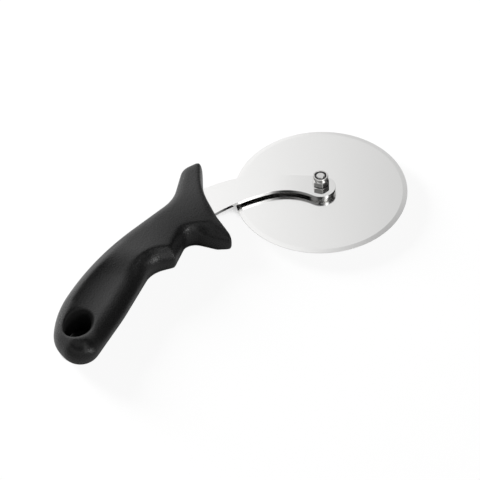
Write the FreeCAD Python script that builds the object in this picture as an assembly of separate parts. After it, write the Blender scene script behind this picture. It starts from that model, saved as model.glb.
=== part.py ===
import FreeCAD, Part
import math
import os

# Pizza cutter: a wheel on a cranked flat arm, with a moulded handle on the arm's tang.
# Millimetres. The cutter lies on its side: +Z is the axle, nuts up, and +X runs from the handle to the wheel.
# The model is drawn about the axle, with z = 0 on the wheel's upper face, and moved to its origin at the end.

Vector = FreeCAD.Vector
UP = Vector(0, 0, 1)

# Wheel
WHEEL_DIAMETER = 101.6
WHEEL_THICKNESS = 1.2
BEVEL_WIDTH = 2.8
CUTTING_EDGE = 0.2

# Pivot: screw from below, bush with a flange above the wheel, washer below it, thin nut and lock nut on the arm
SCREW_DIAMETER = 5.0
HEAD_DIAMETER = 9.5
HEAD_HEIGHT = 3.0
HEAD_CHAMFER = 1.2
RECESS_WIDTH = 1.0
RECESS_LENGTH = 4.8
RECESS_DEPTH = 1.6
WASHER_DIAMETER = 13.0
WASHER_THICKNESS = 1.0
BARREL_DIAMETER = 8.0
FLANGE_DIAMETER = 15.6
FLANGE_THICKNESS = 1.8
NUT_ACROSS_FLATS = 9.0
NUT_ANGLE = 2.0
NUT_FACE_DIAMETER = 8.6
NUT_CHAMFER_ANGLE = 30.0
THIN_NUT_HEIGHT = 2.1
LOCK_NUT_HEIGHT = 4.4
COLLAR_DIAMETER = 8.6
COLLAR_HEIGHT = 2.5
COLLAR_CHAMFER = 0.5
INSERT_DIAMETER = 7.0
INSERT_HEIGHT = 2.3
SCREW_END_CHAMFER = 0.4

# Arm
ARM_THICKNESS = 2.0
ARM_WIDTH = 21.0
ARM_REACH = 64.0
ARM_RISE = 33.7
ARM_END_RADIUS = 8.8
ARM_BEND_START = 1.0
ARM_OUTER_TURN = 42.8
ARM_INNER_RADIUS = 100.0
ARM_INNER_TURN = 22.0
SHOULDER_DEPTH = 5.0
TANG_WIDTH = 12.0
TANG_LENGTH = 52.0
TANG_DROP = 4.0
TANG_CORNER = 3.0
TANG_HOLE_DIAMETER = 6.0
TANG_HOLE_SPACING = 22.0

# Handle
HANDLE_THICKNESS = 19.0
GRIP_LENGTH = 147.5
GRIP_ANGLE = 24.3
HOLE_LENGTH = 21.0
HOLE_WIDTH = 13.5
HOLE_END_RADIUS = 5.5
HOLE_ANGLE = 27.0
HOLE_FROM_END = 18.4
HOLE_RISE = 27.5
HOLE_LIP = 2.8
HOLLOW_LENGTH = 50.0
HOLLOW_WIDTH = 20.0
HOLLOW_DEPTH = 1.8
HOLLOW_ANGLE = 23.0
HOLLOW_FROM_END = 53.9
HOLLOW_RISE = 43.7
SPINE_STRAIGHT = 2.0
SECTION_STEPS = 6
LIP_STEPS = 2
HOLLOW_STEPS = 2

# Fits
RUNNING_CLEARANCE = 0.05
END_PLAY = 0.05
BORE_CLEARANCE = 0.05
TANG_CLEARANCE = 0.05
INSERT_CLEARANCE = 0.05

# Handle outline seen from above, anticlockwise: corner x and y, corner radius, and the rounding of the
# handle's edges at the corner. The front's corners are from the arm's root, and the rear's from the grip's end.
# A corner with no radius set is as round as its neighbours let it be.
FRONT_CORNERS = [
    (-86.5, -38.9, 148.0, 9.0),    # underside of the grip
    (-51.0, -19.4, 16.5, 6.5),     # second finger groove
    (-38.0, -24.4, 0.0, 6.0),      # ridge between the finger grooves
    (-19.5, -13.0, 7.0, 4.5),      # index finger groove
    (-9.5, -27.5, 3.0, 2.0),       # back of the lower lobe
    (-3.0, -35.5, 1.5, 5.0),       # tip of the lower lobe
    (0.0, -16.5, 19.0, 6.5),       # foot of the guard's front
    (6.0, 4.5, 55.0, 3.0),         # hollow front of the guard
    (21.5, 24.0, 2.5, 3.5),        # tip of the upper lobe
    (7.5, 26.5, 9.5, 5.0),         # back of the upper lobe
    (-12.0, 10.5, 25.0, 5.5),      # neck behind the guard
    (-76.0, 4.5, None, 7.0),       # spine
]
REAR_CORNERS = [
    (16.4, 46.2, 66.0, 9.0),       # top of the rear end
    (2.4, 30.7, 18.0, 9.0),        # back of the rear end
    (0.3, 0.4, 12.0, 9.0),         # foot of the rear end
]

# Heights in the pivot stack
FLANGE_BOTTOM = END_PLAY
ARM_BOTTOM = FLANGE_BOTTOM + FLANGE_THICKNESS
ARM_TOP = ARM_BOTTOM + ARM_THICKNESS
LOCK_NUT_BOTTOM = ARM_TOP + THIN_NUT_HEIGHT
COLLAR_BOTTOM = LOCK_NUT_BOTTOM + LOCK_NUT_HEIGHT
COLLAR_TOP = COLLAR_BOTTOM + COLLAR_HEIGHT
WASHER_TOP = -WHEEL_THICKNESS - END_PLAY
HEAD_TOP = WASHER_TOP - WASHER_THICKNESS
HANDLE_MIDDLE = ARM_BOTTOM + ARM_THICKNESS / 2
BORE_DIAMETER = SCREW_DIAMETER + 2 * BORE_CLEARANCE
ROOT = Vector(-ARM_REACH, ARM_RISE, 0)
GRIP_SLOPE = math.radians(GRIP_ANGLE)
GRIP_END = ROOT - Vector(math.cos(GRIP_SLOPE), math.sin(GRIP_SLOPE), 0) * GRIP_LENGTH


def ring(outer, inner, bottom, top):
    """Flat ring round the axle."""
    height = top - bottom
    body = Part.makeCylinder(outer / 2, height, Vector(0, 0, bottom))
    return body.cut(Part.makeCylinder(inner / 2, height, Vector(0, 0, bottom)))


def revolve(points):
    """Solid of revolution round the axle from (radius, z) points."""
    outline = Part.makePolygon([Vector(r, 0, z) for r, z in points + points[:1]])
    return Part.Face(outline).revolve(Vector(0, 0, 0), UP, 360)


def polar(radius, angle, centre=Vector(0, 0, 0)):
    """Point at a radius and an angle in radians from a centre."""
    return centre + Vector(radius * math.cos(angle), radius * math.sin(angle), 0)


def arc(centre, radius, start, end):
    """Arc edge between two angles in radians, in either direction."""
    middle = (start + end) / 2
    ends = [polar(radius, angle, centre) for angle in (start, middle, end)]
    return Part.Arc(*ends).toShape()


def wheel():
    """Disc with a bevel ground on both faces of its rim."""
    rim = WHEEL_DIAMETER / 2
    bore = BARREL_DIAMETER / 2 + RUNNING_CLEARANCE
    land = (WHEEL_THICKNESS - CUTTING_EDGE) / 2
    return revolve([
        (bore, 0),
        (rim - BEVEL_WIDTH, 0),
        (rim, -land),
        (rim, land - WHEEL_THICKNESS),
        (rim - BEVEL_WIDTH, -WHEEL_THICKNESS),
        (bore, -WHEEL_THICKNESS),
    ])


def wheel_bush():
    """Flange that spaces the wheel from the arm, with the barrel that the wheel turns on."""
    flange = ring(FLANGE_DIAMETER, BORE_DIAMETER, FLANGE_BOTTOM, ARM_BOTTOM)
    return flange.fuse(ring(BARREL_DIAMETER, BORE_DIAMETER, WASHER_TOP, FLANGE_BOTTOM)).removeSplitter()


def axle_screw():
    """Pan head screw, its head under the washer and its end flush with the lock nut's collar."""
    radius = SCREW_DIAMETER / 2
    shank = Part.makeCylinder(radius, COLLAR_TOP - HEAD_TOP, Vector(0, 0, HEAD_TOP))
    tip = [edge for edge in shank.Edges if edge.BoundBox.ZMin > COLLAR_TOP - SCREW_END_CHAMFER]
    shank = shank.makeChamfer(SCREW_END_CHAMFER, tip)
    bottom = HEAD_TOP - HEAD_HEIGHT
    head = Part.makeCylinder(HEAD_DIAMETER / 2, HEAD_HEIGHT, Vector(0, 0, bottom))
    rim = [edge for edge in head.Edges if edge.BoundBox.ZMax < HEAD_TOP - HEAD_HEIGHT / 2]
    head = head.makeChamfer(HEAD_CHAMFER, rim)
    for turn in (0, 90):
        corner = Vector(-RECESS_LENGTH / 2, -RECESS_WIDTH / 2, bottom)
        slot = Part.makeBox(RECESS_LENGTH, RECESS_WIDTH, RECESS_DEPTH, corner)
        slot.rotate(Vector(0, 0, 0), UP, turn)
        head = head.cut(slot)
    return head.fuse(shank).removeSplitter()


def hex_nut(bottom, height):
    """Hexagon nut, chamfered on both faces."""
    flat = NUT_ACROSS_FLATS / 2
    corner = flat / math.cos(math.pi / 6)
    points = [polar(corner, math.radians(NUT_ANGLE + 60 * i)) for i in range(7)]
    prism = Part.Face(Part.makePolygon(points)).extrude(UP * height)
    face = NUT_FACE_DIAMETER / 2
    drop = (corner - face) * math.tan(math.radians(NUT_CHAMFER_ANGLE))
    barrel = revolve([
        (BORE_DIAMETER / 2, 0),
        (face, 0),
        (corner, drop),
        (corner, height - drop),
        (face, height),
        (BORE_DIAMETER / 2, height),
    ])
    nut = prism.common(barrel)
    nut.translate(Vector(0, 0, bottom))
    return nut


def lock_nut():
    """Hexagon nut with a collar round the pocket for the insert."""
    nut = hex_nut(LOCK_NUT_BOTTOM, LOCK_NUT_HEIGHT)
    collar = Part.makeCylinder(COLLAR_DIAMETER / 2, COLLAR_HEIGHT, Vector(0, 0, COLLAR_BOTTOM))
    rim = [edge for edge in collar.Edges if edge.BoundBox.ZMin > COLLAR_TOP - COLLAR_CHAMFER]
    collar = collar.makeChamfer(COLLAR_CHAMFER, rim)
    pocket = Part.makeCylinder(INSERT_DIAMETER / 2 + INSERT_CLEARANCE, COLLAR_HEIGHT, Vector(0, 0, COLLAR_BOTTOM))
    return nut.fuse(collar.cut(pocket)).removeSplitter()


def arm_outline():
    """Flat face of the arm: cranked blade with a round end, shoulder and tang."""
    upper = ROOT.y + ARM_WIDTH / 2
    lower = ROOT.y - ARM_WIDTH / 2
    bend = ROOT.x + ARM_BEND_START
    shoulder = ROOT.x - SHOULDER_DEPTH
    tang_end = shoulder - TANG_LENGTH
    tang_middle = ROOT.y - TANG_DROP
    tang_upper = tang_middle + TANG_WIDTH / 2
    tang_lower = tang_middle - TANG_WIDTH / 2

    # Outer edge: straight, then an arc of a set turn, then a line tangent to the arc and to the round end
    facing = math.radians(90 - ARM_OUTER_TURN)
    start = Vector(bend, upper, 0)
    outer_radius = (ARM_END_RADIUS - start.dot(polar(1, facing))) / (1 - math.sin(facing))
    outer = start - Vector(0, outer_radius, 0)

    # Inner edge: straight, then two arcs that meet at a set turn, the second tangent to the round end
    inner = Vector(bend, lower - ARM_INNER_RADIUS, 0)
    inner_end = math.radians(90 - ARM_INNER_TURN)
    joint = polar(ARM_INNER_RADIUS, inner_end, inner)
    inward = polar(-1, inner_end)
    blend_radius = (joint.dot(joint) - ARM_END_RADIUS ** 2) / (2 * (ARM_END_RADIUS - joint.dot(inward)))
    blend = joint + inward * blend_radius
    blend_end = math.atan2(-blend.y, -blend.x)

    edges = [
        arc(outer, outer_radius, math.pi / 2, facing),
        Part.LineSegment(polar(outer_radius, facing, outer), polar(ARM_END_RADIUS, facing)).toShape(),
        arc(Vector(0, 0, 0), ARM_END_RADIUS, facing, blend_end - math.pi),
        arc(blend, blend_radius, blend_end, inner_end),
        arc(inner, ARM_INNER_RADIUS, inner_end, math.pi / 2),
    ]
    corners = [
        Vector(bend, lower, 0),
        Vector(shoulder, lower, 0),
        Vector(shoulder, tang_lower, 0),
        Vector(tang_end + TANG_CORNER, tang_lower, 0),
        Vector(tang_end, tang_lower + TANG_CORNER, 0),
        Vector(tang_end, tang_upper - TANG_CORNER, 0),
        Vector(tang_end + TANG_CORNER, tang_upper, 0),
        Vector(shoulder, tang_upper, 0),
        Vector(shoulder, upper, 0),
        start,
    ]
    edges += [Part.LineSegment(a, b).toShape() for a, b in zip(corners, corners[1:])]
    return Part.Face(Part.Wire(edges))


def tang_holes(diameter):
    """Centres of the two holes in the tang, each with a diameter."""
    middle = ROOT + Vector(-SHOULDER_DEPTH - TANG_LENGTH / 2, -TANG_DROP, 0)
    return [(middle + Vector(side * TANG_HOLE_SPACING / 2, 0, 0), diameter) for side in (-1, 1)]


def drilled_plate(outline, holes, bottom, top):
    """Flat plate between two heights, with round holes given as centres and diameters."""
    plate = outline.extrude(UP * (top - bottom))
    for centre, diameter in holes:
        plate = plate.cut(Part.makeCylinder(diameter / 2, top - bottom, centre))
    plate.translate(Vector(0, 0, bottom))
    return plate


def arm():
    """Arm and tang, one flat plate with the axle hole and the tang's holes."""
    holes = [(Vector(0, 0, 0), BORE_DIAMETER)] + tang_holes(TANG_HOLE_DIAMETER)
    return drilled_plate(arm_outline(), holes, ARM_BOTTOM, ARM_TOP)


def tang_slot():
    """Room for the tang in the moulding, which keeps its pins through the tang's holes."""
    room = arm_outline().makeOffset2D(TANG_CLEARANCE)
    pins = tang_holes(TANG_HOLE_DIAMETER - 2 * TANG_CLEARANCE)
    return drilled_plate(room, pins, ARM_BOTTOM - TANG_CLEARANCE, ARM_TOP + TANG_CLEARANCE)


def directions(corners):
    """Direction of the side that reaches each corner and of the side that leaves it."""
    count = len(corners)
    leaving = [(corners[(i + 1) % count] - corners[i]).normalize() for i in range(count)]
    return [(leaving[i - 1], leaving[i]) for i in range(count)]


def handle_section(height):
    """Outline of the handle at a height from its middle: each corner moves in by its rounding there."""
    rows = FRONT_CORNERS + REAR_CORNERS
    corners = [ROOT + Vector(row[0], row[1], 0) for row in FRONT_CORNERS]
    corners += [GRIP_END + Vector(row[0], row[1], 0) for row in REAR_CORNERS]
    moved = []
    insets = []
    for corner, (before, after), row in zip(corners, directions(corners), rows):
        rounding = row[3]
        rise = (abs(height) - HANDLE_THICKNESS / 2 + rounding) / rounding
        inset = rounding * (1 - math.sqrt(1 - min(max(rise, 0), 1) ** 2))
        inward = UP.cross(before + after).normalize()
        moved.append(corner + inward * (inset / UP.cross(after).dot(inward)))
        insets.append(inset)

    # A hollow corner opens as it moves in, and a round one closes, to half its radius at least
    turns = [math.atan2(before.cross(after).z, before.dot(after)) for before, after in directions(moved)]
    reaches = []
    for turn, row, inset in zip(turns, rows, insets):
        radius = row[2] or 0
        if radius:
            radius = max(radius - inset, radius / 2) if turn > 0 else radius + inset
        reaches.append(radius * math.tan(abs(turn) / 2))
    spine = [row[2] for row in rows].index(None)
    sides = [moved[spine].distanceToPoint(moved[i]) - reaches[i] for i in (spine - 1, spine + 1)]
    reaches[spine] = min(sides) - SPINE_STRAIGHT

    edges = []
    ends = []
    for corner, (before, after), turn, reach in zip(moved, directions(moved), turns, reaches):
        start = corner - before * reach
        end = corner + after * reach
        if ends:
            edges.append(Part.LineSegment(ends[-1], start).toShape())
        else:
            first = start
        if reach:
            middle = corner + (after - before).normalize() * (reach * math.tan(abs(turn) / 4))
            edges.append(Part.Arc(start, middle, end).toShape())
        ends.append(end)
    edges.append(Part.LineSegment(ends[-1], first).toShape())
    section = Part.Wire(edges)
    section.translate(Vector(0, 0, HANDLE_MIDDLE + height))
    return section


def oval(grow, height):
    """Outline of the hang hole, grown all round, at a height from the handle's middle."""
    end = Vector(HOLE_LENGTH / 2 - HOLE_END_RADIUS, 0, height)
    half_width = HOLE_WIDTH / 2
    side_radius = (end.x ** 2 + half_width ** 2 - HOLE_END_RADIUS ** 2) / (2 * (half_width - HOLE_END_RADIUS))
    side = Vector(0, side_radius - half_width, height)
    meet = math.atan2(side.y, end.x)
    other_end = Vector(-end.x, 0, height)
    other_side = Vector(0, -side.y, height)
    return Part.Wire([
        arc(end, HOLE_END_RADIUS + grow, -meet, meet),
        arc(other_side, side_radius + grow, meet, math.pi - meet),
        arc(other_end, HOLE_END_RADIUS + grow, math.pi - meet, math.pi + meet),
        arc(side, side_radius + grow, math.pi + meet, 2 * math.pi - meet),
    ])


def hang_hole():
    """Core of the oval hang hole, flared by the rounded lip at both faces."""
    half = HANDLE_THICKNESS / 2
    angles = [math.pi / 2 * i / LIP_STEPS for i in range(LIP_STEPS + 1)]
    lip = [(HOLE_LIP * (1 - math.sin(angle)), half - HOLE_LIP * (1 - math.cos(angle))) for angle in angles]
    sections = [oval(grow, -height) for grow, height in lip]
    sections += [oval(grow, height) for grow, height in reversed(lip)]
    core = Part.makeLoft(sections, True, True)
    core.rotate(Vector(0, 0, 0), UP, HOLE_ANGLE)
    core.translate(GRIP_END + Vector(HOLE_FROM_END, HOLE_RISE, HANDLE_MIDDLE))
    return core


def thumb_hollow():
    """Slim spindle that dishes the upper face of the grip."""
    half_length = HOLLOW_LENGTH / 2
    girth = ((HOLLOW_WIDTH / 2) ** 2 + HOLLOW_DEPTH ** 2) / (2 * HOLLOW_DEPTH)
    bow = (half_length ** 2 + HOLLOW_DEPTH ** 2) / (2 * HOLLOW_DEPTH)
    profile = [Vector(-half_length, 0, 0)]
    for i in range(-HOLLOW_STEPS, HOLLOW_STEPS + 1):
        along = half_length * i / HOLLOW_STEPS
        profile.append(Vector(along, 0, girth - bow + math.sqrt(bow ** 2 - along ** 2)))
    profile += [Vector(half_length, 0, 0), profile[0]]
    spindle = Part.Face(Part.makePolygon(profile)).revolve(Vector(0, 0, 0), Vector(1, 0, 0), 360)
    spindle.rotate(Vector(0, 0, 0), UP, HOLLOW_ANGLE)
    lift = HANDLE_MIDDLE + HANDLE_THICKNESS / 2 - HOLLOW_DEPTH + girth
    spindle.translate(GRIP_END + Vector(HOLLOW_FROM_END, HOLLOW_RISE, lift))
    return spindle


def handle():
    """Moulded handle: stacked sections with rounded edges, hang hole, thumb hollows and tang slot."""
    half = HANDLE_THICKNESS / 2
    angles = [math.pi / 2 * i / SECTION_STEPS for i in range(-SECTION_STEPS, SECTION_STEPS + 1)]
    sections = [handle_section(half * math.sin(angle)) for angle in angles]
    body = Part.makeLoft(sections, True, True)
    body = body.cut(hang_hole())
    hollow = thumb_hollow()
    body = body.cut(hollow)
    body = body.cut(hollow.mirror(Vector(0, 0, HANDLE_MIDDLE), UP))
    return body.cut(tang_slot())


PIECES = {
    "handle": handle(),
    "arm": arm(),
    "wheel": wheel(),
    "wheel_bush": wheel_bush(),
    "head_washer": ring(WASHER_DIAMETER, BORE_DIAMETER, HEAD_TOP, WASHER_TOP),
    "axle_screw": axle_screw(),
    "pivot_nut": hex_nut(ARM_TOP, THIN_NUT_HEIGHT),
    "lock_nut": lock_nut(),
    "lock_insert": ring(INSERT_DIAMETER, BORE_DIAMETER, COLLAR_BOTTOM, COLLAR_BOTTOM + INSERT_HEIGHT),
}

box = Part.makeCompound(list(PIECES.values())).optimalBoundingBox(False, False)
origin = Vector(box.Center.x, box.Center.y, box.ZMin)
os.makedirs("parts", exist_ok=True)
for name, piece in PIECES.items():
    piece.translate(-origin)
    piece.exportStep(os.path.join("parts", name + ".step"))
    print(name, len(piece.Solids), piece.isValid(), round(piece.Volume, 1))
print("axle at", [round(value, 3) for value in -origin])
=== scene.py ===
import math

import bmesh
import bpy
from mathutils import Matrix, Vector
from mathutils.kdtree import KDTree


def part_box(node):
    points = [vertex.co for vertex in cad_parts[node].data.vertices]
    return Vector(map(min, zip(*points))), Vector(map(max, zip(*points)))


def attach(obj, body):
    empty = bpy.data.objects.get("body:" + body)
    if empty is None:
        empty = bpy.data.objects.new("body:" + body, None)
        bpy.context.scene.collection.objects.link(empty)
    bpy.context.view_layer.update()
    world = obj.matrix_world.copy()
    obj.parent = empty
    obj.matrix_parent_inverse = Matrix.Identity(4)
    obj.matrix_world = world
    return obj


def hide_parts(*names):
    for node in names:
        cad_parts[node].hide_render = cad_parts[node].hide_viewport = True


# A pizza cutter lying on its side, wheel to the right. Metres, in the frame of the solids.

MM = 0.001
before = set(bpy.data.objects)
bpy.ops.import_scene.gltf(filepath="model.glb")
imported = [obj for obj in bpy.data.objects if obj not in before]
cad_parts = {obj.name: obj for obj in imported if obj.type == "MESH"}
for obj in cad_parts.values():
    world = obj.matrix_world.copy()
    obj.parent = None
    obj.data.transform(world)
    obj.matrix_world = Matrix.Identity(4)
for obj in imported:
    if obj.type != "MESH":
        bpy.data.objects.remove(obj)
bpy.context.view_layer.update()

wheel_low, wheel_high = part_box("wheel")
AXLE = Vector(((wheel_low.x + wheel_high.x) / 2, (wheel_low.y + wheel_high.y) / 2, wheel_high.z))

# Picture frame: X to the right and Y away in the photograph, from the axle on the wheel's upper face
PICTURE_TURN = math.radians(-37.8)
PICTURE = Matrix.Translation(AXLE) @ Matrix.Rotation(PICTURE_TURN, 4, "Z")


class Line:
    """A value in a node tree, for plain expressions."""

    def __init__(self, tree, socket=None):
        self.tree = tree
        self.socket = socket

    def node(self, kind, settings=None, sockets=None, out=0):
        """New node: its settings, then the values or links of its sockets. Gives one of its outputs."""
        node = self.tree.nodes.new(kind)
        for name, value in (settings or {}).items():
            if name == "stops":
                set_stops(node.color_ramp, value)
            elif name == "choices":
                for _ in range(value - len(node.index_switch_items)):
                    node.index_switch_items.new()
            else:
                setattr(node, name, value)
        for name, value in (sockets or {}).items():
            if isinstance(value, Line):
                self.tree.links.new(value.socket, node.inputs[name])
            else:
                node.inputs[name].default_value = value
        return Line(self.tree, node.outputs[out] if node.outputs else None)

    def maths(self, operation, *values):
        """Math node on numbers and values."""
        return self.node("ShaderNodeMath", {"operation": operation}, dict(enumerate(values)))

    def __add__(self, other):
        return self.maths("ADD", self, other)

    def __radd__(self, other):
        return self.maths("ADD", other, self)

    def __sub__(self, other):
        return self.maths("SUBTRACT", self, other)

    def __rsub__(self, other):
        return self.maths("SUBTRACT", other, self)

    def __mul__(self, other):
        return self.maths("MULTIPLY", self, other)

    def __rmul__(self, other):
        return self.maths("MULTIPLY", other, self)

    def __gt__(self, other):
        return self.maths("GREATER_THAN", self, other)

    def __lt__(self, other):
        return self.maths("LESS_THAN", self, other)

    def between(self, low, high):
        """0 below low, 1 above high, smooth between them."""
        return self.node("ShaderNodeMapRange", {"interpolation_type": "SMOOTHSTEP"},
                         {"Value": self, "From Min": low, "From Max": high})


def set_stops(ramp, stops):
    """Colour ramp with grey or coloured stops, given as (place, colour)."""
    while len(ramp.elements) < len(stops):
        ramp.elements.new(1.0)
    for element, (place, colour) in zip(ramp.elements, stops):
        element.position = place
        element.color = (colour, colour, colour, 1) if isinstance(colour, (int, float)) else (*colour, 1)


# Finishes

def empty_material(name):
    """Material with an empty tree."""
    material = bpy.data.materials.new(name)
    material.use_nodes = True
    material.node_tree.nodes.clear()
    return material, Line(material.node_tree)


def object_place(tree):
    """Object coordinates."""
    return tree.node("ShaderNodeTexCoord", out="Object")


def new_finish(name):
    """Material with its shader and its Object coordinates."""
    finish, tree = empty_material(name)
    shader = finish.node_tree.nodes.new("ShaderNodeBsdfPrincipled")
    tree.node("ShaderNodeOutputMaterial", None, {"Surface": Line(finish.node_tree, shader.outputs[0])})
    return finish, tree, shader, object_place(tree)


def feed(tree, shader, **values):
    """Sets or links the shader's sockets, named with underscores for spaces."""
    for name, value in values.items():
        socket = shader.inputs[name.replace("_", " ")]
        if isinstance(value, Line):
            tree.tree.links.new(value.socket, socket)
        else:
            socket.default_value = value


def noise(tree, place, scale, detail=2.0, roughness=0.5):
    """Noise value between 0 and 1 at features of 1 / scale metres."""
    return tree.node("ShaderNodeTexNoise", {"noise_dimensions": "3D"},
                     {"Vector": place, "Scale": scale, "Detail": detail, "Roughness": roughness})


def mixed(tree, share, first, second):
    """Colour between two colours."""
    return tree.node("ShaderNodeMix", {"data_type": "RGBA"},
                     {"Factor": share, "A": (*first, 1), "B": (*second, 1)}, out=2)


def darker(colour, share):
    """The colour at a share of its level."""
    return [share * part for part in colour]


def bumped(tree, height, depth, strength=1.0):
    """Normal for a height between 0 and 1 that stands for a depth in metres."""
    return tree.node("ShaderNodeBump", None, {"Strength": strength, "Distance": depth, "Height": height})


def length_of(tree, vector):
    """Length of a vector."""
    return tree.node("ShaderNodeVectorMath", {"operation": "LENGTH"}, {0: vector}, out="Value")


def axis_of(tree, place, axis):
    """One coordinate of a place."""
    return tree.node("ShaderNodeSeparateXYZ", None, {"Vector": place}, out=axis)


def from_axle(tree, place):
    """Level vector from the axle's line to a place."""
    centred = tree.node("ShaderNodeMapping", {"vector_type": "POINT"},
                        {"Vector": place, "Location": (-AXLE.x, -AXLE.y, -AXLE.z)})
    return tree.node("ShaderNodeVectorMath", {"operation": "MULTIPLY"}, {0: centred, 1: (1, 1, 0)})


def turning_marks(tree, radius, scale):
    """Fine rings round the axle."""
    return tree.node("ShaderNodeTexNoise", {"noise_dimensions": "1D"},
                     {"W": radius, "Scale": scale, "Detail": 2.0})


# The handle's hole, in a frame that runs along the grip from its front
GRIP_FRONT = Vector((-53.6 * MM, 15.6 * MM))
GRIP_TURN = math.radians(27.1)
HOLE_PLACE = (55.0 * MM, 6.8 * MM)


def beside_hole(tree, place, length, width):
    """0 within an ellipse round the hole's middle, 1 beside it, at any height: the mask of the painted shade
    in and under the hole.
    """
    u, v = HOLE_PLACE
    x = GRIP_FRONT.x - u * math.cos(GRIP_TURN) - v * math.sin(GRIP_TURN)
    y = GRIP_FRONT.y - u * math.sin(GRIP_TURN) + v * math.cos(GRIP_TURN)
    inside = tree.node("ShaderNodeMapping", {"vector_type": "TEXTURE"},
                       {"Vector": place, "Location": (x, y, 0), "Rotation": (0, 0, GRIP_TURN),
                        "Scale": (length / 2, width / 2, 1)})
    return length_of(tree, inside).between(0.9, 1.1)


def grained_polypropylene():
    """Black moulded plastic with a fine satin grain, rougher inside the hole, where its colour is darkened as
    painted shade.
    """
    finish, tree, shader, place = new_finish("grained_polypropylene")
    grain = noise(tree, place, 1200, 1.0, 0.5)
    cloud = noise(tree, place, 45, 3.0)
    # Painted shade: inside the hole the colour falls to near black.
    beside = beside_hole(tree, place, 23.5 * MM, 15.5 * MM)
    feed(tree, shader,
         Base_Color=mixed(tree, beside * (0.69 + 0.11 * grain + 0.20 * cloud), (0.003, 0.003, 0.003),
                          (0.032, 0.032, 0.0322)),
         Roughness=0.20 + 0.10 * grain + 0.06 * cloud + 0.6 * (1.0 - beside),
         Normal=bumped(tree, grain, 0.15 * MM),
         Specular_IOR_Level=0.25)
    return finish


def polished_steel(name, colour):
    """Polished stainless steel with faint cloudy wiping marks, and painted shade that darkens it round the
    axle.
    """
    finish, tree, shader, place = new_finish(name)
    reach = tree.node("ShaderNodeVectorMath", {"operation": "DISTANCE"}, {0: place, 1: AXLE}, out="Value")
    # Painted shade: the colour darkens towards the axle, fading out between 8 and 32 mm from it.
    clear_of_pivot_shade = reach.between(8 * MM, 32 * MM)
    cloud = noise(tree, place, 60, 3.0)
    fine = noise(tree, place, 900, 2.0)
    feed(tree, shader,
         Base_Color=mixed(tree, 0.15 * cloud + 0.85 * clear_of_pivot_shade, darker(colour, 0.90), colour),
         Metallic=1.0,
         Roughness=0.09 + 0.04 * cloud + 0.02 * fine)
    return finish


def wheel_steel(colour, rim, bevel):
    """Polished disc with faint turned rings, and a ground bevel with fine marks across it."""
    finish, tree, shader, place = new_finish("wheel_steel")
    flat = from_axle(tree, place)
    radius = length_of(tree, flat)
    outward = tree.node("ShaderNodeVectorMath", {"operation": "NORMALIZE"}, {0: flat})
    ground = radius.between(rim - bevel - 0.05 * MM, rim - bevel + 0.05 * MM)
    rings = turning_marks(tree, radius, 2500)
    marks = noise(tree, outward, 160, 3.0, 0.7)
    cloud = noise(tree, place, 50, 3.0)
    feed(tree, shader,
         Base_Color=mixed(tree, 0.6 * cloud + 0.4 * rings, darker(colour, 0.985), colour),
         Metallic=1.0,
         Roughness=0.12 + 0.03 * cloud + 0.02 * rings + ground * (0.05 + 0.06 * marks),
         Normal=bumped(tree, ground * marks, 0.01 * MM, 0.4))
    return finish


def turned_steel(name, colour, gloss):
    """Steel with fine turning marks round the axle."""
    finish, tree, shader, place = new_finish(name)
    radius = length_of(tree, from_axle(tree, place))
    rings = turning_marks(tree, radius, 6000)
    cloud = noise(tree, place, 400, 2.0)
    feed(tree, shader,
         Base_Color=mixed(tree, 0.5 * rings + 0.5 * cloud, darker(colour, 0.9), colour),
         Metallic=1.0,
         Roughness=gloss + 0.10 * rings + 0.05 * cloud,
         Normal=bumped(tree, rings, 0.01 * MM, 0.5))
    return finish


def bright_plating(name, colour, seam):
    """Bright plated steel with a slight unevenness, and painted shade just above a seam."""
    finish, tree, shader, place = new_finish(name)
    cloud = noise(tree, place, 350, 2.0)
    # Painted shade: a near-black band about 1 mm tall just above the seam, where the nuts meet.
    above = axis_of(tree, place, "Z") - seam
    clear = (above > 0.0) * above.between(0.8 * MM, 1.2 * MM) + (above < 0.0)
    feed(tree, shader,
         Base_Color=mixed(tree, clear * (0.9 + 0.1 * cloud), darker(colour, 0.08), colour),
         Metallic=1.0,
         Roughness=0.10 + 0.08 * cloud,
         Normal=bumped(tree, cloud, 0.02 * MM, 0.3))
    return finish


def dark_nylon():
    """Dark nylon with a fine grain."""
    finish, tree, shader, place = new_finish("dark_nylon")
    grain = noise(tree, place, 3000, 2.0)
    feed(tree, shader,
         Base_Color=mixed(tree, grain, (0.012, 0.012, 0.013), (0.022, 0.022, 0.024)),
         Roughness=0.45 + 0.15 * grain,
         Normal=bumped(tree, grain, 0.02 * MM, 0.4),
         Specular_IOR_Level=0.35)
    return finish


# Pieces

def add_object(name, mesh):
    """New object at the origin."""
    piece = bpy.data.objects.new(name, mesh)
    bpy.context.collection.objects.link(piece)
    return piece


def merged_copy(node, name):
    """Copy of a solid's mesh with its triangles joined."""
    shape = bmesh.new()
    shape.from_mesh(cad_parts[node].data)
    bmesh.ops.remove_doubles(shape, verts=shape.verts, dist=0.002 * MM)
    mesh = bpy.data.meshes.new(name)
    shape.to_mesh(mesh)
    shape.free()
    return mesh


def settled(piece):
    """The piece with its modifiers made part of its mesh."""
    graph = bpy.context.evaluated_depsgraph_get()
    mesh = bpy.data.meshes.new_from_object(piece.evaluated_get(graph))
    mesh.name = piece.name
    piece.modifiers.clear()
    piece.data = mesh
    return piece


def dress(piece, body, node, finish):
    """The piece stands for a solid, moves with its body and wears a finish."""
    piece.data.materials.clear()
    piece.data.materials.append(finish)
    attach(piece, body)
    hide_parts(node)


def softened(node, name, width):
    """Copy of a flat-faced solid with its sharp edges rounded and its flat faces kept flat."""
    mesh = merged_copy(node, name)
    shape = bmesh.new()
    shape.from_mesh(mesh)
    bmesh.ops.dissolve_limit(shape, angle_limit=math.radians(0.6), verts=shape.verts, edges=shape.edges)
    shape.to_mesh(mesh)
    shape.free()
    return eased(add_object(name, mesh), width)


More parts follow.
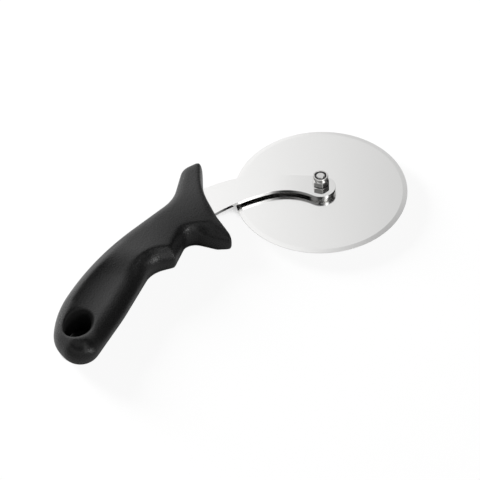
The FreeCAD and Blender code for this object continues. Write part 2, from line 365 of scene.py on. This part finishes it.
def eased(piece, width):
    """The piece with its sharp edges rounded and its flat faces kept flat."""
    bevel = piece.modifiers.new("edges", "BEVEL")
    bevel.width = width
    bevel.segments = 3
    bevel.limit_method = "ANGLE"
    bevel.angle_limit = math.radians(12)
    bevel.use_clamp_overlap = True
    for polygon in piece.data.polygons:
        polygon.use_smooth = True
    return even_shaded(piece)


def even_shaded(piece):
    """The smooth piece with its flat faces kept flat."""
    even = piece.modifiers.new("flats", "WEIGHTED_NORMAL")
    even.keep_sharp = False
    return settled(piece)


def ring_tree():
    """Geometry nodes for a turned ring: an outline with a bevelled, rounded rim, swept round the axle."""
    group = bpy.data.node_groups.new("turned_ring", "GeometryNodeTree")
    lengths = ("Bore radius", "Rim radius", "Bottom", "Top", "Bevel width", "Bevel height", "Rounding")
    inputs = {name: "NodeSocketFloat" for name in lengths}
    inputs.update({"Segments": "NodeSocketInt", "Finish": "NodeSocketMaterial"})
    for name, kind in inputs.items():
        group.interface.new_socket(name=name, in_out="INPUT", socket_type=kind)
    group.interface.new_socket(name="Ring", in_out="OUTPUT", socket_type="NodeSocketGeometry")
    tree = Line(group)
    entry = group.nodes.new("NodeGroupInput")
    size = {name: Line(group, entry.outputs[name]) for name in inputs}

    def point(radius, height):
        return tree.node("ShaderNodeCombineXYZ", None, {"X": radius - size["Rim radius"], "Y": height * -1.0})

    shoulder = size["Rim radius"] - size["Bevel width"]
    outline = [
        point(size["Bore radius"], size["Top"]),
        point(shoulder, size["Top"]),
        point(size["Rim radius"], size["Top"] - size["Bevel height"]),
        point(size["Rim radius"], size["Bottom"] + size["Bevel height"]),
        point(shoulder, size["Bottom"]),
        point(size["Bore radius"], size["Bottom"]),
    ]
    corners = {str(i): corner for i, corner in enumerate(outline)}
    corner = tree.node("GeometryNodeIndexSwitch", {"data_type": "VECTOR", "choices": len(outline)},
                       {"Index": tree.node("GeometryNodeInputIndex"), **corners})
    loop = tree.node("GeometryNodeCurvePrimitiveCircle", None, {"Resolution": len(outline)})
    loop = tree.node("GeometryNodeSetPosition", None, {"Geometry": loop, "Position": corner})
    loop = tree.node("GeometryNodeFilletCurve", {"mode": "POLY"},
                     {"Curve": loop, "Count": 3, "Radius": size["Rounding"], "Limit Radius": True})
    path = tree.node("GeometryNodeCurvePrimitiveCircle", None,
                     {"Resolution": size["Segments"], "Radius": size["Rim radius"]})
    ring = tree.node("GeometryNodeCurveToMesh", None, {"Curve": path, "Profile Curve": loop})
    ring = tree.node("GeometryNodeRealizeInstances", None, {"Geometry": ring})
    ring = tree.node("GeometryNodeSetMaterial", None, {"Geometry": ring, "Material": size["Finish"]})
    tree.node("NodeGroupOutput", None, {"Ring": ring})
    return group


def turned_ring(name, group, sizes, finish):
    """Ring made by the geometry nodes, moved to the axle."""
    piece = add_object(name, bpy.data.meshes.new(name))
    modifier = piece.modifiers.new("ring", "NODES")
    modifier.node_group = group
    for item in group.interface.items_tree:
        if item.in_out == "INPUT":
            modifier[item.identifier] = finish if item.name == "Finish" else sizes[item.name]
    settled(piece)
    shape = bmesh.new()
    shape.from_mesh(piece.data)
    bmesh.ops.remove_doubles(shape, verts=shape.verts, dist=0.001 * MM)
    bmesh.ops.recalc_face_normals(shape, faces=shape.faces)
    bmesh.ops.translate(shape, verts=shape.verts, vec=Vector((AXLE.x, AXLE.y, 0)))
    for face in shape.faces:
        face.smooth = True
    shape.to_mesh(piece.data)
    shape.free()
    return even_shaded(piece)


def ring_sizes(node, bore, bevel=(0.0, 0.0), rounding=0.1 * MM, segments=160):
    """Sizes of a ring that fills a solid's box."""
    low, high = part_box(node)
    return {"Bore radius": bore, "Rim radius": (high.x - low.x) / 2, "Bottom": low.z, "Top": high.z,
            "Bevel width": bevel[0], "Bevel height": bevel[1], "Rounding": rounding, "Segments": segments}


# Nuts: half the width across flats, the radius of the face inside the chamfer, the rounding of the edges,
# the turn and the chamfer's slope. The collar is given as radius and height in mm.
SCREW_BORE = 2.55 * MM
NUT_FLAT = 4.5 * MM
NUT_FACE = 3.9 * MM
NUT_EDGE = 0.4 * MM
NUT_ANGLE = math.radians(2.0)
NUT_CHAMFER = math.tan(math.radians(17))
SIDES = 6
HALF_SIDE = math.pi / SIDES
SIDE_TURNS = [-30, -29.3, -28.6, -27.9, -20, -10, 0, 10, 20, 27.9, 28.6, 29.3]
LOCK_HEIGHT = 4.4 * MM
COLLAR = [(4.3, 16.9), (4.45, 17.6), (4.55, 18.6), (4.5, 19.1), (4.35, 19.38), (4.15, 19.5), (3.7, 19.48),
          (3.6, 19.4), (3.55, 19.2), (3.55, 17.0)]


def hexagon_reach(turn):
    """Distance from the axis to a rounded hexagon's side, at a turn from the side's middle."""
    middle = (NUT_FLAT - NUT_EDGE) / math.cos(HALF_SIDE)
    if math.tan(abs(turn)) * NUT_FLAT < middle * math.sin(HALF_SIDE):
        return NUT_FLAT / math.cos(turn)
    off = HALF_SIDE - abs(turn)
    return middle * math.cos(off) + math.sqrt(NUT_EDGE ** 2 - (middle * math.sin(off)) ** 2)


def nut_profile(reach, bottom, top, collar):
    """Section of a nut from bore to bore. Only a nut with a collar has a chamfer below as well."""
    drop = (reach - NUT_FACE) * NUT_CHAMFER
    foot = drop if collar else 0.0
    upper = [(radius * MM, z * MM) for radius, z in collar] or [(NUT_FACE, top)]
    return [(SCREW_BORE, bottom), (NUT_FACE, bottom), (reach, bottom + foot), (reach, top - drop), *upper,
            (SCREW_BORE, upper[-1][1])]


def chamfered_nut(node, name, height, collar=()):
    """Hexagon nut with an optional collar, its sections joined round the axle."""
    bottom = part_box(node)[0].z
    points = []
    for side in range(SIDES):
        for turn in SIDE_TURNS:
            angle = NUT_ANGLE + math.radians(30 + 60 * side + turn)
            profile = nut_profile(hexagon_reach(math.radians(turn)), bottom, bottom + height, collar)
            points += [(AXLE.x + radius * math.cos(angle), AXLE.y + radius * math.sin(angle), z)
                       for radius, z in profile]
    columns = SIDES * len(SIDE_TURNS)
    count = len(profile)
    faces = []
    for column in range(columns):
        here, there = column * count, (column + 1) % columns * count
        for i in range(count):
            j = (i + 1) % count
            faces.append((here + i, there + i, there + j, here + j))
    mesh = bpy.data.meshes.new(name)
    mesh.from_pydata(points, [], faces)
    return eased(add_object(name, mesh), 0.06 * MM)


# The handle's upper side, above the middle of its thickness, divided into voxels
HANDLE_HALF = 9.5 * MM
AWAY = PICTURE.to_3x3() @ Vector((0, 1, 0))
VOXEL = 0.55 * MM

# The thumb hollow: its far rim is a shallow arc, and it fades in and out along the grip
HOLLOW_DEPTH = 3.4 * MM
HOLLOW_WIDTH = 18.0 * MM
HOLLOW_RIM = 17.5 * MM
HOLLOW_MIDDLE = 37 * MM
HOLLOW_CURVE = 4.2
HOLLOW_FRONT = (-8 * MM, 14 * MM)
HOLLOW_REAR = (70 * MM, 55 * MM)

# How far in from the outline each rounding runs, and where along and across the grip it is
NEAR_RUN = 10.5 * MM
FAR_RUN = 7.5 * MM
GROOVE_RUN = 8.0 * MM
EDGE_RUN = 2.5 * MM
LOBE_RUN = 9.5 * MM
FAR_SIDE = 5 * MM
NEAR_SIDE = (4 * MM, 1 * MM)
NEAR_FRONT = (-36 * MM, -24 * MM)
NEAR_REAR = (80 * MM, 66 * MM)
GROOVE_END = (-8 * MM, 8 * MM)
DISH_FRONT = (-16 * MM, -10 * MM)
DISH_REAR = (42 * MM, 40 * MM)
DISH_EDGE = (2 * MM, 4 * MM)
LOBE_NEAR = (16 * MM, 4 * MM)
LOBE_FRONT = (-14 * MM, -6 * MM)
LOBE_FACING = (0.5, -0.5)

# The crown over the guard bends down, then falls at one slope on the lower lobe
CROWN_START = 40.0 * MM
CROWN_END = 12.0 * MM
CROWN_SLOPE = 0.22
CROWN_FRONT = (-48 * MM, -12 * MM)
LOBE_SLOPE = 0.20

# Round the hole the outline isn't the nearest wall
HOLE_REGION = (14 * MM, 10 * MM)


def smooth(value, low, high):
    """0 at low, 1 at high, smooth between them."""
    share = min(max((value - low) / (high - low), 0.0), 1.0)
    return share * share * (3 - 2 * share)


def rounded(inset, run, rise, power=2.0):
    """Height of a rounded edge at a distance inside the outline."""
    return rise * (1 - (1 - min(inset / run, 1.0)) ** power) ** (1 / power)


def on_grip(point):
    """Place along the grip, to the rear, and across it, to the far side."""
    away = Vector((point.x, point.y)) - GRIP_FRONT
    along = Vector((-math.cos(GRIP_TURN), -math.sin(GRIP_TURN)))
    across = Vector((-math.sin(GRIP_TURN), math.cos(GRIP_TURN)))
    return away.dot(along), away.dot(across)


def hollow_depth(u, v):
    """Depth of the thumb hollow: steep below its far rim, then levelling out to a ridge on the near side."""
    rim = HOLLOW_RIM - HOLLOW_CURVE * (u - HOLLOW_MIDDLE) ** 2
    inward = min(max((rim - v) / HOLLOW_WIDTH, 0.0), 1.0)
    depth = HOLLOW_DEPTH * (1 - (1 - inward) ** 2.5)
    return depth * smooth(u, *HOLLOW_FRONT) * smooth(u, *HOLLOW_REAR)


def crown_drop(point):
    """How far the guard's upper face falls towards the lower lobe."""
    run = CROWN_START - CROWN_END
    bend = min(max(CROWN_START - point.y, 0), run)
    drop = CROWN_SLOPE * bend * bend / (2 * run) + LOBE_SLOPE * max(CROWN_END - point.y, 0)
    return drop * smooth(point.x, *CROWN_FRONT)


def sculpt(mesh):
    """Shapes the upper side of the handle within its outline."""
    wall = []
    for vert in mesh.vertices:
        u, v = on_grip(vert.co)
        from_hole = ((u - HOLE_PLACE[0]) / HOLE_REGION[0], (v - HOLE_PLACE[1]) / HOLE_REGION[1])
        at_middle = abs(vert.co.z - HANDLE_HALF) < 0.5 * MM and abs(vert.normal.z) < 0.5
        if at_middle and from_hole[0] ** 2 + from_hole[1] ** 2 >= 1:
            wall.append(vert.co)
    outline = KDTree(len(wall))
    for i, point in enumerate(wall):
        outline.insert((point.x, point.y, 0), i)
    outline.balance()
    for vert in mesh.vertices:
        point = vert.co
        edge, _, inset = outline.find((point.x, point.y, 0))
        height = point.z - HANDLE_HALF
        if height > 0:
            towards = (edge - Vector((point.x, point.y, 0))).normalized()
            height = upper_side(point, height, inset, towards.dot(AWAY))
            point += AWAY * crown_drop(point) * height / HANDLE_HALF
            point.z = HANDLE_HALF + height


def upper_side(point, height, inset, away):
    """Height above the middle for a point of the upper side, from where the outline is nearest."""
    u, v = on_grip(point)
    depth = hollow_depth(u, v)
    drop = crown_drop(point)
    plain = rounded(inset, FAR_RUN, HANDLE_HALF) if v > FAR_SIDE else HANDLE_HALF
    in_dish = smooth(u, *DISH_FRONT) * smooth(u, *DISH_REAR) * smooth(inset, *DISH_EDGE)
    height += in_dish * (plain - height)
    height *= (1 - depth / HANDLE_HALF) * (1 - drop / HANDLE_HALF)
    on_near = smooth(v, *NEAR_SIDE) * smooth(u, *NEAR_FRONT) * smooth(u, *NEAR_REAR)
    run = GROOVE_RUN + (NEAR_RUN - GROOVE_RUN) * smooth(u, *GROOVE_END)
    height -= on_near * max(height - rounded(inset, run, HANDLE_HALF - depth, 1.6), 0)
    on_lobe = smooth(point.y, *LOBE_NEAR) * smooth(point.x, *LOBE_FRONT) * smooth(away, *LOBE_FACING)
    run = EDGE_RUN + LOBE_RUN * on_lobe
    return min(height, rounded(inset, run, HANDLE_HALF - drop, 2 - 0.3 * on_lobe))


def moulded_handle():
    """Handle with soft moulded edges, closed round the arm."""
    mesh = merged_copy("handle", "moulded_handle")
    arm_low, arm_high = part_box("arm")
    shape = bmesh.new()
    shape.from_mesh(mesh)
    margin = 0.06 * MM
    slot = [face for face in shape.faces
            if all(arm_low.z - margin < vert.co.z < arm_high.z + margin for vert in face.verts)]
    bmesh.ops.delete(shape, geom=slot, context="FACES")
    rim = [edge for edge in shape.edges if edge.is_boundary]
    bmesh.ops.holes_fill(shape, edges=rim, sides=0)
    bmesh.ops.triangulate(shape, faces=shape.faces)
    shape.to_mesh(mesh)
    shape.free()
    piece = add_object("moulded_handle", mesh)
    evened(piece)
    sculpt(piece.data)
    evened(piece)
    soft = piece.modifiers.new("soft", "SMOOTH")
    soft.factor = 0.5
    soft.iterations = 16
    settled(piece)
    for polygon in piece.data.polygons:
        polygon.use_smooth = True
    return piece


def evened(piece):
    """The piece with its surface divided evenly."""
    even = piece.modifiers.new("even", "REMESH")
    even.mode = "VOXEL"
    even.voxel_size = VOXEL
    return settled(piece)


STEEL = (0.86, 0.857, 0.85)
black = grained_polypropylene()
nylon = dark_nylon()
arm_steel = polished_steel("arm_steel", STEEL)
bush_steel = turned_steel("bush_steel", (0.70, 0.695, 0.685), 0.12)
screw_steel = turned_steel("screw_steel", (0.74, 0.735, 0.725), 0.16)

WHEEL_BEVEL = (2.8 * MM, 0.5 * MM)
WHEEL_BORE = 4.05 * MM
ring = ring_tree()

wheel_size = ring_sizes("wheel", WHEEL_BORE, WHEEL_BEVEL, 0.04 * MM, 512)
disc_steel = wheel_steel(STEEL, wheel_size["Rim radius"], WHEEL_BEVEL[0])
dress(turned_ring("wheel_disc", ring, wheel_size, disc_steel), "wheel", "wheel", disc_steel)
dress(turned_ring("washer_ring", ring, ring_sizes("head_washer", SCREW_BORE), bush_steel),
      "frame", "head_washer", bush_steel)
dress(turned_ring("nylon_ring", ring, ring_sizes("lock_insert", SCREW_BORE), nylon),
      "frame", "lock_insert", nylon)
dress(softened("wheel_bush", "flanged_bush", 0.12 * MM), "frame", "wheel_bush", bush_steel)
dress(softened("axle_screw", "pan_head_screw", 0.10 * MM), "frame", "axle_screw", screw_steel)
nut_low, nut_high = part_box("pivot_nut")
plating = bright_plating("bright_plating", (0.78, 0.772, 0.755), nut_high.z)
dress(chamfered_nut("pivot_nut", "thin_nut", nut_high.z - nut_low.z), "frame", "pivot_nut", plating)
dress(chamfered_nut("lock_nut", "collar_nut", LOCK_HEIGHT, COLLAR), "frame", "lock_nut", plating)
dress(softened("arm", "cranked_arm", 0.18 * MM), "frame", "arm", arm_steel)
dress(moulded_handle(), "frame", "handle", black)
# The disc shows no mirror image of the pivot's upper pieces
for name in ("collar_nut", "nylon_ring", "pan_head_screw"):
    bpy.data.objects[name].visible_glossy = False


# Studio

def plane(name, width, depth, place):
    """Flat sheet for the studio, its place a matrix."""
    mesh = bpy.data.meshes.new(name)
    x, y = width / 2, depth / 2
    mesh.from_pydata([(-x, -y, 0), (x, -y, 0), (x, y, 0), (-x, y, 0)], [], [(0, 1, 2, 3)])
    piece = add_object(name, mesh)
    piece.matrix_world = place
    return piece


def facing(place, target):
    """Matrix at a place whose +Z looks at a target, both in the picture frame."""
    back = Vector(place) - Vector(target)
    turn = (-back).to_track_quat("Z", "Y").to_matrix().to_4x4()
    return PICTURE @ Matrix.Translation(Vector(place)) @ turn


WHITE = (1, 1, 1, 1)


def rays(tree):
    """Share of camera rays, and of rays that a mirror or glass sends on."""
    glossy = tree.node("ShaderNodeLightPath", out="Is Glossy Ray")
    transmitted = tree.node("ShaderNodeLightPath", out="Is Transmission Ray")
    return tree.node("ShaderNodeLightPath", out="Is Camera Ray"), glossy + transmitted


def glow(tree, colour, strength):
    """Surface that gives light."""
    return tree.node("ShaderNodeEmission", None, {"Color": colour, "Strength": strength})


def pale_floor():
    """Floor: white to the camera with the shadow kept, quiet in reflections and bounced light; its glow fades
    where it is deeply occluded, and a painted shadow darkens it under the handle's hole.
    """
    material, tree = empty_material("pale_floor")
    camera, sent_on = rays(tree)
    open_sky = tree.node("ShaderNodeAmbientOcclusion", {"samples": 24}, {"Distance": 0.03}, out="AO")
    # Painted shadow: the floor under the handle's hole is dark to the camera and in reflections.
    beside = beside_hole(tree, object_place(tree), 30 * MM, 22 * MM)
    white = glow(tree, WHITE, 1.02 * open_sky.between(0.03, 0.15) * beside)
    shaded = tree.node("ShaderNodeBsdfDiffuse", None, {"Color": (0.9, 0.9, 0.9, 1)})
    seen = tree.node("ShaderNodeMixShader", None, {0: 0.08, 1: white, 2: shaded})
    quiet = tree.node("ShaderNodeBsdfDiffuse", None, {"Color": (0.15, 0.15, 0.15, 1)})
    mirrored = glow(tree, WHITE, 0.65 * open_sky.between(0.3, 0.9) * beside)
    surface = tree.node("ShaderNodeMixShader", None, {0: sent_on, 1: quiet, 2: mirrored})
    surface = tree.node("ShaderNodeMixShader", None, {0: camera, 1: surface, 2: seen})
    tree.node("ShaderNodeOutputMaterial", None, {"Surface": surface})
    floor = plane("floor", 8, 8, Matrix.Identity(4))
    floor.data.materials.append(material)


def hidden_card(size, place, material, tree, colour, strength):
    """Glowing card that only reflections show."""
    tree.node("ShaderNodeOutputMaterial", None, {"Surface": glow(tree, colour, strength)})
    card = plane(material.name, *size, place)
    card.data.materials.append(material)
    card.visible_camera = False
    card.visible_diffuse = False
    card.visible_transmission = False
    card.visible_shadow = False


# Levels of the cards, by share of their width
CARD_LEVELS = [(0.0, 1.07), (0.065, 1.03), (0.15, 0.936), (0.204, 0.90), (0.257, 0.84), (0.3125, 0.78),
               (0.339, 0.742), (0.5, 0.74), (0.68, 0.69), (1.0, 0.66)]


def bright_card():
    """Card over the far side, which the wheel and the arm mirror: light on the left, greyer on the right."""
    material, tree = empty_material("bright_card")
    place = object_place(tree)
    along = axis_of(tree, place, "X")
    share = tree.node("ShaderNodeMapRange", None, {"Value": along, "From Min": -0.02, "From Max": 0.38})
    level = tree.node("ShaderNodeValToRGB", {"stops": CARD_LEVELS}, {"Fac": share})
    upward = axis_of(tree, place, "Y")
    kept = 1.0 - (along + 0.6 * upward).between(0.33, 0.42)
    hidden_card((1.0, 0.8), facing((-0.05, 0.42, 0.42), (-0.05, 0, 0)), material, tree, level, kept)


STRIP_LEVELS = [(0.0, 0.2), (0.327, 0.2), (0.404, 0.02), (0.52, 0.02), (0.546, 0.13), (0.615, 0.4),
                (0.68, 1.4), (0.705, 2.4), (0.755, 2.4), (0.78, 1.2), (0.80, 0.5), (0.846, 0.08), (1.0, 0.08)]
FILL_LEVELS = [(0.0, 0.9), (0.56, 0.9), (0.66, 0.4), (0.69, 3.0), (0.78, 3.0), (0.81, 0.4), (0.86, 0.1),
               (1.0, 0.1)]
STRIP_BEND = 0.505


def front_card():
    """Card on the near side: a bent dark strip with a bright place, for upright metal, in a soft fill."""
    material, tree = empty_material("front_card")
    place = object_place(tree)
    along = axis_of(tree, place, "X")
    upward = axis_of(tree, place, "Y")
    share = tree.node("ShaderNodeMapRange", None, {"Value": along, "From Min": 1.3, "From Max": -1.3})
    strip = tree.node("ShaderNodeValToRGB", {"stops": STRIP_LEVELS}, {"Fac": share})
    fill = tree.node("ShaderNodeValToRGB", {"stops": FILL_LEVELS}, {"Fac": share})
    off = upward - STRIP_BEND * along * along
    beside = (off * off).between(0.03, 0.09)
    level = tree.node("ShaderNodeMix", {"data_type": "RGBA"},
                      {"Factor": beside, "A": strip, "B": fill}, out=2)
    hidden_card((2.6, 1.4), facing((0, -0.7, 0.7), (0, 0, 0)), material, tree, level, 1.0)


def side_flag():
    """Dark card on the right, which keeps the far card's light off the handle's near side."""
    material, tree = empty_material("side_flag")
    hidden_card((0.9, 0.8), facing((0.9, 0.25, 0.6), (0, 0, 0)), material, tree, WHITE, 0.02)


def lamp(name, place, target, size, power, glossy=True):
    """Square soft lamp."""
    data = bpy.data.lights.new(name, "AREA")
    data.shape = "SQUARE"
    data.size = size
    data.energy = power
    piece = bpy.data.objects.new(name, data)
    bpy.context.collection.objects.link(piece)
    piece.matrix_world = facing(place, target) @ Matrix.Rotation(math.pi, 4, "X")
    piece.visible_glossy = glossy
    return piece


def lit_only(source, name):
    """Keeps a lamp's light on one piece."""
    lit = bpy.data.collections.new(name + "_lit")
    lit.objects.link(bpy.data.objects[name])
    source.light_linking.receiver_collection = lit


def pale_world():
    """White to the camera, pale in reflections, low as a light."""
    world = bpy.data.worlds.new("pale_world")
    bpy.context.scene.world = world
    world.use_nodes = True
    world.node_tree.nodes.clear()
    tree = Line(world.node_tree)
    camera, sent_on = rays(tree)
    strength = 0.05 + 0.95 * camera + sent_on * 0.25
    back = tree.node("ShaderNodeBackground", None, {"Color": WHITE, "Strength": strength})
    tree.node("ShaderNodeOutputWorld", None, {"Surface": back})


# Camera: its tilt, the point of the floor that it looks at, in the picture frame, and its distance
CAMERA_ELEVATION = math.radians(45.0779)
CAMERA_ROLL = math.radians(-2.3377)
CAMERA_TARGET = Vector((-48.604 * MM, -37.882 * MM, 0))
CAMERA_REACH = 2.5


def photo_camera():
    """Camera at the photograph's viewing angle."""
    back = Vector((0, -math.cos(CAMERA_ELEVATION), math.sin(CAMERA_ELEVATION)))
    level = Vector((1, 0, 0))
    upward = back.cross(level)
    right = level * math.cos(CAMERA_ROLL) + upward * math.sin(CAMERA_ROLL)
    up = upward * math.cos(CAMERA_ROLL) - level * math.sin(CAMERA_ROLL)
    turn = Matrix((right, up, back)).transposed().to_4x4()
    data = bpy.data.cameras.new("photo_camera")
    data.sensor_width = 36
    data.lens = 322.75
    data.clip_end = 20
    camera = bpy.data.objects.new("photo_camera", data)
    bpy.context.collection.objects.link(camera)
    camera.matrix_world = PICTURE @ Matrix.Translation(CAMERA_TARGET + back * CAMERA_REACH) @ turn
    bpy.context.scene.camera = camera


bpy.context.scene.view_settings.view_transform = "Standard"
pale_floor()
bright_card()
front_card()
side_flag()
pale_world()
middle = (-0.06, -0.03, 0)
lamp("key_lamp", (-1.05, 0.85, 0.34), middle, 0.5, 86, glossy=False)
lit_only(lamp("fill_lamp", (0.85, -0.55, 0.23), middle, 0.15, 2.5), "moulded_handle")
photo_camera()
